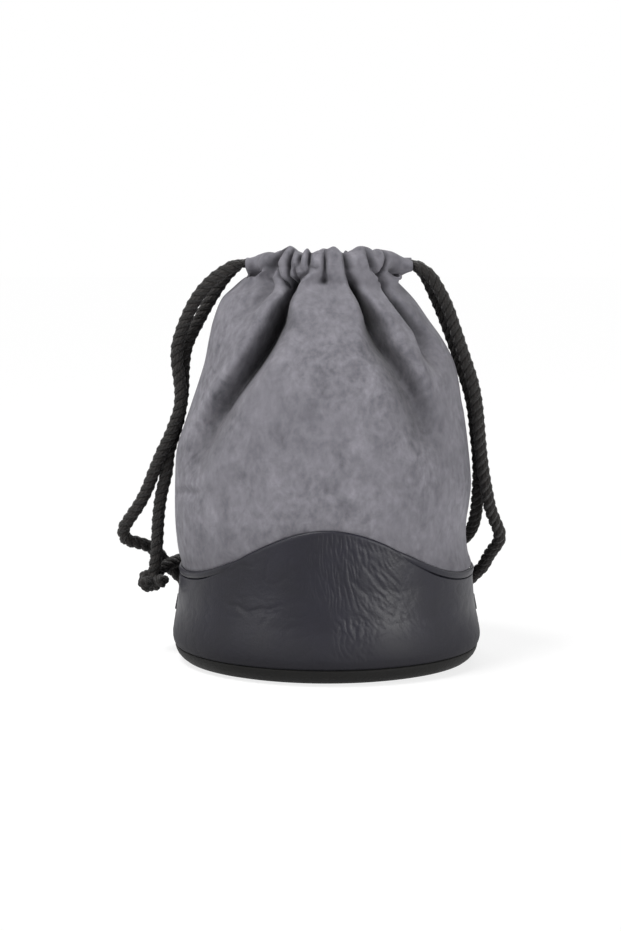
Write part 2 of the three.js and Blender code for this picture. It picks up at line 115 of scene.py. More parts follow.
# Folds of the front: places by height (height, degrees), depths by height (height, mm),
# width of the left bank and of the right bank by height. A narrow bank is an edge that hangs over the valley.
FRONT_FOLDS = [
    (  # left of the middle dome, deep
        [(168, -4.6), (166.5, -4.6), (164.3, -10.4), (161, -16), (157.8, -19), (155, -20.5), (151, -22), (146.8, -23),
         (143, -24.2), (134.7, -29.8), (126.5, -37), (113.7, -48.2), (101.6, -56), (90, -59)],
        [(167, 0), (164, 2.4), (160, 5), (155, 8.5), (150, 14.5), (142, 20), (132, 18), (122, 13), (114, 10.5),
         (105, 8.8), (97, 7.2), (90, 4.4), (78, 0)],
        [(168, 1.5), (158, 2.6), (150, 4.4), (142, 5.6), (130, 6.4), (115, 7), (100, 9)],
        [(168, 0.7), (155, 1.2), (148, 2.4), (142, 3.4), (130, 4.4), (115, 6), (100, 10)],
    ),
    (  # right of the middle dome, deep
        [(173, 13.2), (169.5, 13.3), (163.5, 14.7), (160.5, 17), (158, 18.4), (152, 20.8), (143, 24.4), (134.7, 27.4),
         (126.5, 32.8), (113.7, 40), (101.6, 44.2), (90, 46)],
        [(174, 1.4), (169, 3), (164, 3.6), (160, 6.5), (156, 12.5), (150, 18), (144, 20), (135, 17), (126, 12.5),
         (114, 8), (102, 4.4), (90, 0)],
        [(173, 0.7), (152, 1.1), (146, 1.7), (140, 3.6), (132, 5.6), (115, 7.5), (100, 10)],
        [(173, 1.3), (162, 2), (152, 4), (142, 5.8), (130, 6.2), (115, 6), (100, 8)],
    ),
    (  # second line on the right, from a hollow in the hem
        [(173, 32), (170, 32.4), (165.5, 34.3), (163.8, 36.8), (161.6, 41.2), (159, 46.5), (152, 46.5), (148, 48.5),
         (144, 51), (140, 53.4), (134, 56), (122, 58.5)],
        [(174, 1), (168, 3.4), (164, 3), (160, 5), (152, 10), (144, 12), (138, 11), (132, 7.5), (122, 0)],
        [(174, 1.2), (162, 0.8), (140, 1.2), (130, 5)],
        [(174, 1.3), (160, 2.4), (150, 4), (140, 5), (130, 7)],
    ),
    (  # shallow dent beside it
        [(150, 57), (134, 60), (120, 62)],
        [(150, 0), (140, 1.5), (134, 1.8), (120, 0)],
        [(150, 5), (120, 8)],
        [(150, 5), (120, 8)],
    ),
    (  # edge of the ruffle over the left sleeve and lobe
        [(173, -26), (165, -31.6), (160.5, -35.7), (155.5, -36), (151, -40), (146, -46)],
        [(174, 2.6), (168, 4.2), (164, 3.2), (161, 2.6), (157, 5), (152, 4), (147, 1.5), (141, 0)],
        [(173, 2), (162, 2.8), (155, 4.5), (147, 7)],
        [(173, 0.6), (166, 0.7), (161, 1.6), (155, 1.2), (148, 3)],
    ),
    (  # slanted crease before the right sleeve
        [(172, 50.5), (169.5, 50), (165.5, 46), (161.5, 41.5)],
        [(174, 1.6), (166, 3.6), (162, 3), (159, 0)],
        [(172, 0.8), (160, 0.8)],
        [(172, 0.9), (160, 0.9)],
    ),
    # hairpins of the ruffle
    ([(168, -29), (164, -28.3), (156, -25)], [(169, 0), (165, 3.2), (160, 4), (157, 2), (154, 0)],
     [(170, 0.6)], [(170, 0.6)]),
    ([(173, -21), (160.5, -22.6)], [(174, 1.8), (168, 3.6), (161, 4), (157, 0)], [(170, 0.6)], [(170, 0.7)]),
    ([(166, -18.2), (158, -19)], [(168, 0), (164, 2.6), (160, 3.4), (156, 0)], [(170, 0.6)], [(170, 0.6)]),
    ([(160, -22), (155, -21.5)], [(162, 0), (158, 6), (155, 3), (152, 0)], [(170, 2.4)], [(170, 2)]),
    ([(173, -16), (166, -15.6)], [(174, 2), (169, 3.2), (165, 0)], [(170, 0.6)], [(170, 0.6)]),
    ([(173, -10.4), (165, -10.4)], [(174, 2), (168, 3.4), (164, 0)], [(170, 0.6)], [(170, 0.8)]),
    # pleat in the middle with a hollow at its foot
    ([(174, -1), (159, -1.2)], [(174, 1), (168, 2.8), (163, 3.4), (160.6, 5), (158.6, 1), (157, 0)],
     [(166, 0.7), (161, 2.4)], [(166, 0.7), (161, 1.4)]),
    # soft hollow in the right sleeve
    ([(170, 58), (160, 56)], [(168, 0), (163.5, 1.6), (160, 0)], [(165, 3)], [(165, 3)]),
]
# Top of the hem by place (degrees, height): it dips at each pleat
HEM_TOP = [
    (-90, 168.6), (-62, 168.8), (-49.6, 170.4), (-41.5, 171.5), (-33.8, 171.5), (-27.6, 173.6), (-24.5, 174.4),
    (-21.7, 173.5), (-16.2, 171), (-12.8, 173.5), (-10.3, 171.7), (-5.7, 172.7), (0, 173.3), (6.3, 174.3),
    (13.2, 171.7), (20.2, 172.6), (27.5, 174.3), (35.3, 173.9), (41.6, 172.4), (46, 173), (52, 172.6),
    (60.5, 171.7), (69, 169.8), (79, 168.3), (90, 167.6),
]

# Routes of the cord, from the hem's ends to the tabs and the knot
TAB_TURN = [
    (60.2, 28.1, 19.8), (60.8, 29, 14.4), (60.8, 31.6, 9), (58.6, 36, 5.8), (55.6, 40.4, 8.6), (53.2, 42.2, 14.6),
    (52.2, 42.2, 22),
]
LEFT_OUTER = [
    (-34.2, -3.8, 166.5), (-37.2, -3.8, 166), (-41, -3.9, 164.2), (-46.4, -3.9, 160.6), (-51.6, -3.6, 155.4),
    (-55.6, -3.2, 149.5), (-58.6, -3, 143.2), (-60.8, -3, 137.4), (-62.3, -3, 131.5), (-62.4, -3, 125.5),
    (-61.6, -3, 119), (-61, -3, 112), (-61.6, -2.8, 105.5), (-63.6, -2.2, 99.5), (-66, -1.2, 93.5),
    (-69.2, 0, 87), (-72.7, 2, 78.7), (-76.2, 4, 70), (-79.4, 5.2, 64), (-83.2, 6.6, 58.4), (-86.2, 8.4, 53),
    (-85.2, 10.4, 48.6), (-80.4, 13, 46.6), (-75.8, 16.6, 44.4), (-72.2, 21.4, 40.6), (-69, 25, 35.6),
    (-65.2, 26.9, 31.4), (-62.2, 27.8, 28.2), (-60.6, 28.1, 25), (-60.2, 28.1, 22), (-60.2, 28.1, 20),
]
LEFT_INNER = [
    (-34.2, 3.8, 166.5), (-37, 3.9, 165.6), (-40, 4.8, 163.2), (-43.2, 5.6, 159.4), (-47.2, 5.8, 153.4),
    (-50.8, 5.4, 147.4), (-54, 4.6, 141.4), (-57, 3.6, 135.6), (-59, 2.8, 130), (-60, 2.6, 122),
    (-60.4, 2.6, 112), (-62.2, 2.8, 101), (-65.2, 3, 91), (-66.4, 3, 87), (-67.4, 3, 78.6), (-69.5, 4, 70),
    (-70.4, 4.2, 65), (-71.3, 5, 57), (-71.7, 5.6, 50), (-72.2, 6.4, 43), (-73.1, 7.6, 36.3),
]
LEFT_LOWER = [
    *((-x, y, z) for x, y, z in TAB_TURN), (-52.8, 41.2, 29), (-55.4, 37.6, 34.8), (-59, 32.4, 37.4),
    (-62.6, 26.8, 37.2), (-65, 22.6, 36.9), (-67.6, 18.8, 36.3), (-70, 16, 35.2), (-71.9, 13.8, 34),
]
RIGHT_OUTER = [
    (36.2, -3.8, 165.7), (39, -3.8, 164.4), (43, -3.9, 161.4), (47.2, -3.6, 154.8), (50.3, -3.2, 148.4),
    (52.6, -3, 142), (54.8, -3, 135.6), (57, -3, 129), (59.2, -3, 122.6), (61.1, -3, 116.4), (62.5, -3, 109.5),
    (63.4, -2.8, 102), (64.2, -2.2, 93.5), (65.1, -1.2, 85), (66.4, 0.2, 76.5), (67.8, 2, 69.5),
    (69.4, 4.2, 62.5), (71.6, 6.6, 56.8), (73.6, 9, 51.8), (73.6, 11.8, 47.4), (71.6, 14.6, 43.8),
    (69.6, 18.4, 39.8), (67.8, 22.2, 35.2), (64.8, 25.6, 31.2), (62.2, 27.5, 28), (60.6, 28.1, 25),
    (60.2, 28.1, 22), (60.2, 28.1, 20),
]
RIGHT_INNER = [
    (36.4, 3.8, 165.7), (39, 3.8, 164.2), (41.6, 3.9, 160.8), (45, 3.6, 153.6), (48.4, 3.2, 145.8),
    (51.2, 3, 138.6), (53.6, 3, 132), (55.8, 3, 125.6), (58, 3, 119), (60.2, 3, 112), (61.8, 3, 104),
    (62.8, 3.2, 95.5), (63.8, 4, 87), (64.4, 5.8, 78), (64.4, 8, 71.4), (64.2, 11, 64.6),
    (63.9, 14.4, 58.8), (63.2, 18.4, 54), (61.9, 22.8, 50), (60, 27.8, 46.6), (57.4, 33.9, 43.2),
    (54.4, 38.6, 37.6), (52.2, 41.8, 30), *reversed(TAB_TURN),
]
FRONT_END = [(-75, 6.6, 31.3), (-76.1, 4, 30.9), (-76.7, 2.4, 30.7), (-77.2, 0.9, 30.5)]
REAR_END = [(-72.4, 6.8, 31.6), (-70.8, 4.7, 31.7), (-69.9, 3.5, 31.8), (-69, 2.4, 31.8)]


# Shader maths


class Value:
    """A socket of a finish; sums, products and powers of values add Math nodes."""

    def __init__(self, finish, socket):
        self.finish = finish
        self.socket = socket

    def math(self, operation, *others):
        return self.finish.add("Math", {"operation": operation}, self, *others)

    def __add__(self, other):
        return self.math("ADD", other)

    __radd__ = __add__

    def __sub__(self, other):
        return self.math("SUBTRACT", other)

    def __rsub__(self, other):
        return self.finish.add("Math", {"operation": "SUBTRACT"}, other, self)

    def __mul__(self, other):
        return self.math("MULTIPLY", other)

    __rmul__ = __mul__

    def __pow__(self, other):
        return self.math("POWER", other)

    def __abs__(self):
        return self.math("ABSOLUTE")

    def clamp(self):
        return self.finish.add("Clamp", {}, self)


class Finish:
    """A material with one Principled shader, whose nodes are added by name."""

    def __init__(self, name, **constants):
        self.material = bpy.data.materials.new(name)
        self.material.use_nodes = True
        self.tree = self.material.node_tree
        self.shader = self.tree.nodes["Principled BSDF"]
        self.put(self.shader, constants)
        self.places = self.add("TexCoord", {}, output="Object")

    def put(self, node, inputs):
        for key, value in inputs.items():
            socket = node.inputs[key.replace("_", " ") if isinstance(key, str) else key]
            if isinstance(value, Value):
                self.tree.links.new(value.socket, socket)
            else:
                socket.default_value = value

    def add(self, kind, settings, *inputs, output=0, **named):
        node = self.tree.nodes.new("ShaderNode" + kind)
        for key, value in settings.items():
            setattr(node, key, value)
        self.put(node, {**dict(enumerate(inputs)), **named})
        return Value(self, node.outputs[output])

    def noise(self, scale, detail, roughness, places=None, distortion=0):
        return self.add(
            "TexNoise", {}, Vector=places or self.places, Scale=scale, Detail=detail, Roughness=roughness,
            Distortion=distortion,
        )

    def stretched(self, scale, rotation=(0, 0, 0)):
        return self.add("Mapping", {}, Vector=self.places, Scale=scale, Rotation=rotation)

    def mix(self, share, first, second):
        node = self.tree.nodes.new("ShaderNodeMix")
        node.data_type = "RGBA"
        self.put(node, {0: share, 6: first, 7: second})
        return Value(self, node.outputs[2])

    def done(self, colour, roughness, height, depth):
        """The material with what varies on it; the bump's depth is in mm."""
        bump = self.add("Bump", {}, Height=height, Distance=depth * MM, Strength=1.0)
        self.put(self.shader, {"Base Color": colour, "Roughness": roughness, "Normal": bump})
        return self.material


def srgb(*channels):
    shares = [c / 255 for c in channels]
    linear = [c / 12.92 if c <= 0.04045 else ((c + 0.055) / 1.055) ** 2.4 for c in shares]
    return (*linear, 1.0)


# Finishes


def brushed_suede():
    f = Finish("brushed_suede", Specular_IOR_Level=0.12, Sheen_Weight=0.08, Sheen_Roughness=0.6)
    clouds = f.noise(42, 4, 0.6, f.stretched((1, 1, 1), (0, 0, 2.4)), distortion=0.5)
    strokes = f.noise(105, 5, 0.6, distortion=1.1)
    marks = f.noise(330, 3, 0.55, f.stretched((1.2, 1.2, 0.8), (0.9, 0.2, 0.4)))
    nap = f.noise(2600, 2, 0.6)
    brushed = (f.noise(26, 2, 0.5) * 3.2 - 1.1).clamp()
    share = (clouds - 0.5) * 1.1 + (strokes - 0.5) * (0.6 + brushed) + (marks - 0.5) * (0.5 + brushed * 0.8) + 0.5
    colour = f.mix(share.clamp(), srgb(90, 89, 95), srgb(139, 137, 144))
    # Painted shade: an attribute on the points darkens the cloth towards a near black in the folds, the hem's pleats,
    # the hollow under the hem's ends and just above the cup's edge
    painted_fold_shade = f.add("Attribute", {"attribute_name": "painted_fold_shade"}, output="Fac")
    colour = f.mix(painted_fold_shade ** 0.7 * 0.75, colour, srgb(30, 29, 31))
    height = strokes * 0.5 + marks * 0.3 + nap * 0.2
    return f.done(colour, 0.92 - strokes * 0.08, height, 0.3)


def creased_leatherette():
    f = Finish("creased_leatherette", Specular_IOR_Level=0.3)
    grain = f.add("TexVoronoi", {"feature": "F1"}, Vector=f.places, Scale=1000, Randomness=0.9)
    pores = f.noise(2400, 2, 0.5)
    wear = f.noise(55, 4, 0.6)
    folds = f.noise(240, 4, 0.6, distortion=0.8)
    up = f.add("SeparateXYZ", {}, f.places, output="Z")
    # Painted shade: darker towards the foot, where the cup rounds in to the sole; also rougher there, so duller
    low = ((0.024 - up) * 60).clamp()
    colour = f.mix(wear * (1 - low * 0.8), srgb(16, 15, 21), srgb(28, 27, 39))
    height = grain * 0.25 + pores * 0.1 + folds * 0.8
    return f.done(colour, 0.38 + wear * 0.12 + low * 0.3, height, 0.14)


def sole_leatherette():
    f = Finish("sole_leatherette", Specular_IOR_Level=0.15)
    grain = f.add("TexVoronoi", {"feature": "F1"}, Vector=f.places, Scale=900, Randomness=1.0)
    scuffs = f.noise(140, 5, 0.7)
    colour = f.mix((scuffs * 1.4 - 0.3).clamp(), srgb(17, 17, 17), srgb(29, 28, 27))
    return f.done(colour, 0.5 + scuffs * 0.25, grain * 0.5 + scuffs * 0.5, 0.2)


def twisted_yarn():
    f = Finish("twisted_yarn", Specular_IOR_Level=0.3, Sheen_Weight=0.15, Sheen_Roughness=0.5)
    lie = f.add("UVMap", {"uv_map": "lie"})
    around, along = (f.add("SeparateXYZ", {}, lie, output=axis) for axis in "XY")
    fibres = (around * 7 + along * 0.9).math("FRACT")
    ridge = 1 - abs(fibres - 0.5) * 2
    fuzz = f.noise(1800, 3, 0.7)
    patches = f.noise(160, 3, 0.6)
    # The lay's fibre stripes, with painted highlight on their crests and painted shade between them, mixed with fuzz
    # and patches
    share = (ridge * 0.55 + fuzz * 0.5 + patches * 0.4 - 0.35).clamp()
    colour = f.mix(share, srgb(15, 13, 12), srgb(44, 40, 38))
    return f.done(colour, 0.62 + fuzz * 0.3, ridge * 0.7 + fuzz * 0.5, 0.28)


def soft_lining():
    f = Finish("soft_lining", Specular_IOR_Level=0.2, Sheen_Weight=0.2, Sheen_Roughness=0.6)
    fibre = f.noise(1500, 3, 0.7)
    clouds = f.noise(60, 3, 0.5)
    colour = f.mix((clouds * 0.7 + fibre * 0.4).clamp(), srgb(58, 58, 61), srgb(92, 91, 95))
    return f.done(colour, 0.88 + fibre * 0.1, fibre, 0.2)


def dark_foam():
    f = Finish("dark_foam", Specular_IOR_Level=0.2)
    cells = f.add("TexVoronoi", {"feature": "F1"}, Vector=f.places, Scale=1500)
    colour = f.mix((cells * 1.3).clamp(), srgb(38, 38, 40), srgb(72, 72, 74))
    return f.done(colour, 0.9 + cells * 0.1, cells, 0.3)


def fibre_board():
    f = Finish("fibre_board", Specular_IOR_Level=0.3)
    flecks = f.noise(700, 4, 0.7, f.stretched((1, 1, 4)))
    colour = f.mix(flecks, srgb(92, 80, 62), srgb(136, 122, 98))
    return f.done(colour, 0.8 + flecks * 0.15, flecks, 0.15)


def waxed_thread():
    f = Finish("waxed_thread", Specular_IOR_Level=0.45)
    twist = f.noise(1600, 2, 0.5, f.stretched((1, 1, 3), (0.6, 0.4, 0)))
    colour = f.mix(twist, srgb(20, 20, 21), srgb(44, 43, 45))
    return f.done(colour, 0.5 + twist * 0.2, twist, 0.1)


SUEDE = brushed_suede()
LEATHERETTE = creased_leatherette()
SOLE = sole_leatherette()
YARN = twisted_yarn()
LINING = soft_lining()
FOAM = dark_foam()
BOARD = fibre_board()
THREAD = waxed_thread()


# Shapes that the pieces share


def curve_through(pairs):
    """A smooth curve through pairs of place and value."""
    xs, ys = np.array(pairs, float).T
    count = len(xs)
    before = np.maximum(np.arange(count) - 1, 0)
    after = np.minimum(np.arange(count) + 1, count - 1)
    slopes = (ys[after] - ys[before]) / (xs[after] - xs[before])

    def at(place):
        place = np.clip(place, xs[0], xs[-1])
        i = np.clip(np.searchsorted(xs, place, side="right") - 1, 0, count - 2)
        h = xs[i + 1] - xs[i]
        t = (place - xs[i]) / h
        rise = (ys[i + 1] - ys[i]) * t * t * (3 - 2 * t)
        return ys[i] + rise + h * (slopes[i] * t * (1 - t) ** 2 - slopes[i + 1] * t * t * (1 - t))

    return at


def ease(value, low, high):
    t = np.clip((value - low) / (high - low), 0, 1)
    return t * t * (3 - 2 * t)


def lerp(first, second, share):
    return first + (second - first) * share


cup_loss = curve_through(CUP_PROFILE)
left_wall = curve_through(LEFT_WALL)
right_wall = curve_through(RIGHT_WALL)
deep_wall = curve_through(DEEP_WALL)
left_shoulder = curve_through(LEFT_SHOULDER)
round_shoulder = curve_through(ROUND_SHOULDER)


def cup_radius(z):
    return BASE_RADIUS - CUP_TAPER * cup_loss(z - SOLE_HEIGHT)


def cup_edge(phi):
    return EDGE_SIDE + EDGE_RISE * np.cos(phi) ** 4


def girth(z, wall, shoulder, neck):
    at_wall = cup_radius(EDGE_SIDE) - 1 + wall(np.minimum((z - EDGE_SIDE) / (SHOULDER - EDGE_SIDE), 1))
    return neck + (at_wall - neck) * shoulder(np.maximum((z - SHOULDER) / (NECK - SHOULDER), 0))


def deselect_all():
    for obj in bpy.context.selected_objects:
        obj.select_set(False)


def make_active(obj):
    deselect_all()
    obj.select_set(True)
    bpy.context.view_layer.objects.active = obj


def coordinates(obj):
    flat = np.empty(len(obj.data.vertices) * 3)
    obj.data.vertices.foreach_get("co", flat)
    return flat.reshape(-1, 3) / MM


def move_points(obj, points):
    obj.data.vertices.foreach_set("co", (np.asarray(points) * MM).ravel())
    obj.data.update()


def add_to_scene(name, data):
    obj = bpy.data.objects.new(name, data)
    bpy.context.scene.collection.objects.link(obj)
    return obj


def piece_from(name, points, faces, material):
    mesh = bpy.data.meshes.new(name)
    mesh.from_pydata((np.asarray(points) * MM).tolist(), [], faces)
    mesh.materials.append(material)
    obj = add_to_scene(name, mesh)
    mesh.shade_smooth()
    return obj


def grid_faces(rows, columns):
    """Quads of a grid of points whose columns run to the right and whose rows run up."""
    at = np.arange(rows * columns).reshape(rows, columns)
    quads = np.stack([at[:-1, :-1], at[:-1, 1:], at[1:, 1:], at[1:, :-1]], axis=-1)
    return quads.reshape(-1, 4).tolist()


def tube_faces(first, rings, sides):
    """Faces of a tube of rings of points, whose two ends are closed."""
    faces = []
    for j in range(rings - 1):
        for i in range(sides):
            n = (i + 1) % sides
            a, b = first + j * sides, first + (j + 1) * sides
            faces.append((a + i, a + n, b + n, b + i))
    faces.append(tuple(first + sides - 1 - i for i in range(sides)))
    faces.append(tuple(first + (rings - 1) * sides + i for i in range(sides)))
    return faces


def edit_all(obj, operator, **settings):
    make_active(obj)
    bpy.ops.object.mode_set(mode="EDIT")
    bpy.ops.mesh.select_all(action="SELECT")
    operator(**settings)
    bpy.ops.object.mode_set(mode="OBJECT")


def outwards(obj):
    edit_all(obj, bpy.ops.mesh.normals_make_consistent, inside=False)


def apply_modifier(obj, kind, **settings):
    make_active(obj)
    modifier = obj.modifiers.new(kind.lower(), kind)
    for key, value in settings.items():
        setattr(modifier, key, value)
    bpy.ops.object.modifier_apply(modifier=modifier.name)


def wobble(points, scale, seed):
    """Smooth noise from -1 to 1 at points in mm."""
    shift = Vector((seed * 7.3, seed * 3.1, seed * 5.7))
    return np.array([noise.noise(Vector(p) * scale + shift) for p in points])


def extruded_rings(name, rings, sides, material, fill=False):
    """A circle that is extruded ring by ring, each with a radius and a height."""
    deselect_all()
    radius, height = rings[0]
    bpy.ops.mesh.primitive_circle_add(
        vertices=sides, radius=radius * MM, fill_type="NGON" if fill else "NOTHING", location=(0, 0, 0)
    )
    obj = bpy.context.object
    obj.name = obj.data.name = name
    bpy.ops.object.mode_set(mode="EDIT")
    bpy.ops.mesh.select_all(action="SELECT")
    bpy.ops.transform.translate(value=(0, 0, height * MM))
    for wider, higher in rings[1:]:
        bpy.ops.mesh.extrude_region_move(TRANSFORM_OT_translate={"value": (0, 0, (higher - height) * MM)})
        grow = wider / radius
        bpy.ops.transform.resize(value=(grow, grow, 1), center_override=(0, 0, higher * MM))
        radius, height = wider, higher
    bpy.ops.object.mode_set(mode="OBJECT")
    if fill:
        outwards(obj)
    obj.data.materials.append(material)
    obj.data.shade_smooth()
    return obj


def angle_round(points):
    """Angle of each point round the axis, 0 at the front and growing to the right."""
    return np.arctan2(points[:, 0], -points[:, 1])


def around_axis(radius, phi, z):
    """Points at such angles, a radius from the axis."""
    return np.stack([radius * np.sin(phi), -radius * np.cos(phi), z], axis=-1)


def plain_tube(name, rows, sides, material):
    """A tube to be shaped, with the angle of each point and its share of the height."""
    obj = extruded_rings(name, [(BASE_RADIUS, i) for i in range(rows + 1)], sides, material)
    outwards(obj)
    points = coordinates(obj)
    return obj, angle_round(points), points[:, 2] / rows


def dressed(obj, body, slot, *nodes):
    """A finished rigid piece: it rides on a body and stands for its solids."""
    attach(obj, body)
    if nodes:
        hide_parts(*nodes)
    return obj


# Cup


def band_shown(phi):
    """Share of the edge band that shows: none at the top of each wave, all of it at the sides."""
    sine = np.sin(phi)
    return np.where(sine < 0, ease(-sine, 0.5, 0.86), ease(sine, 0.36, 0.76))


def front_columns(phi):
    """Angles drawn together at the front, where the creases are finest."""
    return phi - 0.62 * np.sin(phi) * (0.5 + 0.5 * np.cos(phi))


def furrows(value, sharp):
    """Narrow valleys where a noise passes through zero."""
    return np.clip(1 - np.abs(value) * sharp, 0, 1) ** 1.4


def creases(phi, z):
    """Depth of the leatherette's creases: upright at the front's middle and right, level at the left."""
    arc = phi * BASE_RADIUS
    flat = np.c_[arc, z, np.zeros_like(z)]
    lean = 0.1 + 0.55 * ease(arc, 2, 36)
    bent = arc + 1.4 * wobble(flat, 0.11, 3) + lean * (z - 62)
    upright = furrows(wobble(np.c_[bent * 0.8, z * 0.12, 0 * z], 1, 4), 2.6)
    upright *= ease(arc, -14, -4) * (1 - ease(arc, 30, 44)) * ease(z, 24, 40)
    fan = furrows(wobble(np.c_[(arc + 0.8 * z) * 0.55, (arc - z) * 0.13, 0 * z], 1, 6), 3)
    fan *= ease(arc, 8, 16) * (1 - ease(arc, 36, 46)) * ease(z, 14, 22) * (1 - ease(z, 33, 42))
    crumple = furrows(wobble(np.c_[(arc + 0.7 * z) * 0.45, (arc - z) * 0.2, 0 * z], 1, 9), 2.6)
    crumple *= ease(arc, 0, 5) * (1 - ease(arc, 15, 22)) * ease(z, 9, 13) * (1 - ease(z, 24, 31))
    line = 30.5 + 1.1 * np.sin(arc * 0.23) + 0.6 * np.sin(arc * 0.61 + 1)
    level = np.exp(-(((z - line) / 0.6) ** 2)) + 0.6 * np.exp(-(((z - line + 3.4 + 0.06 * arc) / 0.8) ** 2))
    level *= ease(arc, -54, -44) * (1 - ease(arc, -22, -14))
    faint = furrows(wobble(flat * np.array([1, 1.6, 1]), 0.12, 5), 4)
    return 0.25 * upright + 0.17 * fan + 0.34 * crumple + 0.26 * level + 0.1 * faint


def base_cup():
    obj, phi, share = plain_tube("base_cup_wall", 72, 560, LEATHERETTE)
    phi = front_columns(phi)
    z = lerp(SOLE_HEIGHT + 0.05, cup_edge(phi) - 0.1 - BAND_HEIGHT * band_shown(phi), share)
    rounded = 0.3 * (1 - ease(share, 0, 0.02)) + 0.45 * ease(share, 0.98, 1)
    on_wall = around_axis(BASE_RADIUS, phi, z)
    dents = 0.35 * wobble(on_wall, 0.03, 1) + 0.15 * wobble(on_wall, 0.09, 2)
    radius = cup_radius(z) - rounded - creases(phi, z) * (1 - ease(share, 0.95, 1)) + dents * ease(share, 0, 0.2)
    move_points(obj, around_axis(radius, phi, z))
    apply_modifier(obj, "SOLIDIFY", thickness=CUP_WALL * MM, offset=-1)
    dressed(obj, "base", "cup_leatherette", "base_cup")


def edge_band():
    """The folded edge: proud of the wall at the sides, and flush with it at the top of each wave."""
    profile = [(0, -0.3), (0.12, 0.15), (0.35, 0.42), (0.65, BAND_PROUD), (0.88, 0.2), (1, -0.45)]
    last = len(profile) - 1
    obj, phi, share = plain_tube("cup_edge_band_strip", last, 400, LEATHERETTE)
    up, out = np.array(profile)[np.rint(share * last).astype(int)].T
    out = lerp(out - 1.1, out, ease(band_shown(phi), 0.05, 0.6))
    z = cup_edge(phi) - BAND_HEIGHT * (1 - up)
    reach = cup_radius(z) + out + 0.1 * wobble(around_axis(60, phi, z), 0.12, 11)
    move_points(obj, around_axis(reach, phi, z))
    apply_modifier(obj, "SOLIDIFY", thickness=(CUP_WALL - 0.3) * MM, offset=-1)
    dressed(obj, "base", "cup_leatherette", "cup_edge_band")


def sole():
    rim = cup_radius(SOLE_HEIGHT + GAP)
    under = [(SOLE_RADIUS - 10, 0), (SOLE_RADIUS - 3, 0), (SOLE_RADIUS - 1.2, 0.25)]
    rounded = [(lerp(SOLE_RADIUS, rim, share), z) for share, z in ((0.2, 0.8), (0.5, 1.9), (0.77, 3.4), (0.93, 5))]
    top = [(rim - 0.05, 6.1), (rim - 0.2, 6.5), (rim - 0.8, SOLE_HEIGHT), (rim - 9, SOLE_HEIGHT)]
    obj = extruded_rings("sole_shell", [*under, *rounded, *top], 240, SOLE, fill=True)
    dressed(obj, "base", "sole_leatherette", "sole")


def stitches(name, centres, along, out, length, thick, body):
    """Short rounded stitches, each lying along the seam with its middle standing out."""
    ring = [(math.cos(a), math.sin(a)) for a in np.linspace(0, 2 * math.pi, STITCH_SIDES, endpoint=False)]
    stations = [(-0.5, 0.35, -0.5), (-0.3, 0.9, 0.15), (0, 1, 0.35), (0.3, 0.9, 0.15), (0.5, 0.35, -0.5)]
    points, faces = [], []
    for centre, a, n in zip(centres, along, out):
        side = np.cross(a, n)
        faces += tube_faces(len(points), len(stations), STITCH_SIDES)
        for place, grow, lift in stations:
            middle = centre + a * place * length + n * thick * lift
            points += [middle + 0.5 * thick * grow * (n * c + side * s) for c, s in ring]
    obj = piece_from(name, points, faces, THREAD)
    outwards(obj)
    dressed(obj, body, "cup_leatherette")


# Upper


def smooth_route(points, step):
    """Points a step apart on a smooth curve through the given ones."""
    p = np.array(points, float)
    p = np.vstack([2 * p[0] - p[1], p, 2 * p[-1] - p[-2]])
    gaps = np.sqrt(np.linalg.norm(np.diff(p, axis=0), axis=1))
    fine = []
    for i in range(1, len(p) - 2):
        d0, d1, d2 = gaps[i - 1], gaps[i], gaps[i + 1]
        m1 = ((p[i] - p[i - 1]) / d0 - (p[i + 1] - p[i - 1]) / (d0 + d1) + (p[i + 1] - p[i]) / d1) * d1
        m2 = ((p[i + 1] - p[i]) / d1 - (p[i + 2] - p[i]) / (d1 + d2) + (p[i + 2] - p[i + 1]) / d2) * d1
        t = np.linspace(0, 1, 24, endpoint=False)[:, None]
        fine.append(
            (2 * t**3 - 3 * t**2 + 1) * p[i] + (t**3 - 2 * t**2 + t) * m1
            + (3 * t**2 - 2 * t**3) * p[i + 1] + (t**3 - t**2) * m2
        )
    fine = np.vstack([*fine, p[-2]])
    run = np.r_[0, np.cumsum(np.linalg.norm(np.diff(fine, axis=0), axis=1))]
    even = np.linspace(0, run[-1], max(2, int(round(run[-1] / step)) + 1))
    return np.stack([np.interp(even, run, fine[:, k]) for k in range(3)], axis=-1)


def fold_shift(degrees, z, radius, folds):
    """How far the folds draw the cloth in, and how far they draw it sideways over the valley."""
    inwards = np.zeros_like(z)
    sideways = np.zeros_like(z)
    for rows in folds:
        place, depth, left, right = (np.interp(z, *np.array(sorted(row), float).T) for row in rows)
        arc = np.radians(degrees - place) * radius
        wide = np.where(arc < 0, left, right)
        off = np.abs(arc) / wide
        inwards += depth * (np.exp(-(off**1.8)) - 0.06 * np.exp(-((off - 1.9) ** 2) * 1.6))
        sideways -= np.sign(arc) * 0.2 * depth * np.exp(-wide / 2) * off * np.exp(-((off / 1.6) ** 2))
    return inwards, sideways


def rumples(degrees, z):
    """Small creases low on the upper: one level at the left, some upright at the right."""
    line = 73 + 0.12 * (degrees + 70) + 0.5 * np.sin(degrees * 0.35)
    level = np.exp(-(((z - line) / 1.7) ** 2)) * ease(degrees, -88, -78) * (1 - ease(degrees, -60, -50))
    flat = np.stack([degrees * 0.32, z * 0.06, 0 * z], axis=-1)
    upright = furrows(wobble(flat.reshape(-1, 3), 1, 41).reshape(z.shape), 2.4)
    upright *= ease(degrees, 22, 34) * (1 - ease(degrees, 60, 70)) * ease(z, 54, 62) * (1 - ease(z, 78, 90))
    return 1.5 * level + 0.45 * upright


def hem_bow():
    """The hem's path across the mouth, as places and distances from the seams."""
    left = [(-reach * HEM_LEFT, deep) for reach, deep in HEM_BOW]
    right = [(reach * HEM_RIGHT, deep) for reach, deep in reversed(HEM_BOW)]
    return [*left, (0, HEM_DEPTH), *right]


